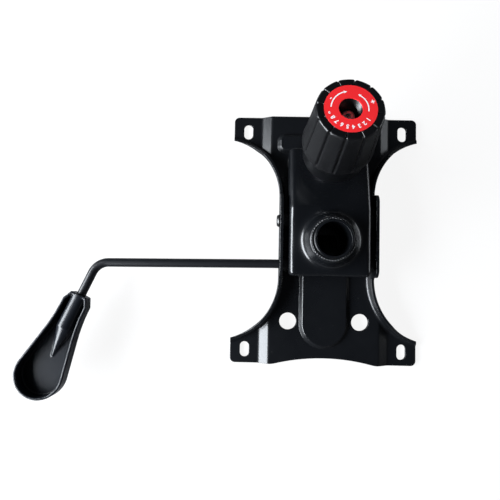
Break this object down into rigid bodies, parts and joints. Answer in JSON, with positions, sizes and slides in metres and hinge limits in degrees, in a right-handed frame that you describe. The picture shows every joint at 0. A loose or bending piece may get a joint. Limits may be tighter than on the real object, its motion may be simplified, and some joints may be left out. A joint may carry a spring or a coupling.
{
  "type": "seat swivel plate",
  "caption": "Pressed seat plate with a hinged tilt housing, gas lift socket, sprung tension knob and a bent lever that lifts to release the height and slides in to lock the tilt.",
  "frame": {"origin": "centre of the pattern of seat slots, in the plane of the face that meets the seat", "axes": "+Z out of the gas lift socket, away from the seat; +Y to the front of the chair, where the knob is; +X across the chair, away from the lever"},
  "size_m": [0.3478, 0.2542, 0.1156],
  "materials": {
    "painted_steel": "semi-gloss black paint",
    "rod_steel": "semi-gloss black paint",
    "zinc_steel": "bright zinc plate",
    "spring_steel": "oiled spring steel",
    "bush_nylon": "moulded nylon",
    "handle_plastic": "fine-grained black plastic",
    "knob_plastic": "satin black plastic",
    "label_red": "glossy red",
    "pad_rubber": "matt black rubber"
  },
  "bodies": {
    "plate": {"seat_plate": "painted_steel", "anchor_lugs": "painted_steel", "anchor_pin": "zinc_steel", "anchor_clip": "spring_steel", "bump_pads": "pad_rubber", "pivot_rivet_left": "zinc_steel", "pivot_rivet_right": "zinc_steel"},
    "housing": {"housing": "painted_steel", "gas_lift_socket": "painted_steel", "weld_bead": "painted_steel", "inner_saddle": "painted_steel", "pivot_bush_left": "bush_nylon", "pivot_bush_right": "bush_nylon", "lever_bush_left": "bush_nylon", "lever_bush_right": "bush_nylon", "spring_seat": "zinc_steel"},
    "release_arm": {"release_blade": "painted_steel", "return_spring": "spring_steel"},
    "lever": {"lever_rod": "rod_steel", "stop_collar": "zinc_steel", "collar_pin": "spring_steel", "lever_handle": "handle_plastic"},
    "tension_rod": {"tension_bolt": "zinc_steel", "tension_spring": "spring_steel"},
    "thrust": {"thrust_washer": "zinc_steel"},
    "knob": {"knob_body": "knob_plastic", "knob_nut": "zinc_steel", "knob_label": "label_red"}
  },
  "joints": [
    {"name": "seat_tilt", "type": "hinge", "parent": "plate", "child": "housing", "pos_m": [0, 0.0155, 0.021], "axis": [1, 0, 0], "range_deg": [0, 11], "stiffness_Nm_per_rad": 74, "springref_deg": -7.16, "deforming": ["tension_spring"]},
    {"name": "lever_lift", "type": "hinge", "parent": "housing", "child": "release_arm", "pos_m": [0, -0.0223, 0.0235], "axis": [1, 0, 0], "range_deg": [0, 9], "stiffness_Nm_per_rad": 0.5, "springref_deg": -17.19},
    {"name": "lever_lock", "type": "slide", "parent": "release_arm", "child": "lever", "axis": [1, 0, 0], "range_m": [0, 0.008]},
    {"name": "bolt_swing", "type": "hinge", "parent": "plate", "child": "tension_rod", "pos_m": [0, 0.0614, 0.019], "axis": [1, 0, 0], "range_deg": [0, 11]},
    {"name": "knob_travel", "type": "slide", "parent": "tension_rod", "child": "thrust", "axis": [0, 0.225, 0.9744], "range_m": [-0.003, 0.003], "deforming": ["tension_spring"]},
    {"name": "knob_turn", "type": "hinge", "parent": "thrust", "child": "knob", "pos_m": [0, 0.0614, 0.019], "axis": [0, 0.225, 0.9744], "range_deg": [-720, 720]}
  ],
  "couplings": [
    {"joint": "bolt_swing", "follows": "seat_tilt", "ratio": 1},
    {"joint": "knob_turn", "follows": "knob_travel", "rad_per_m": 4188.8}
  ]
}
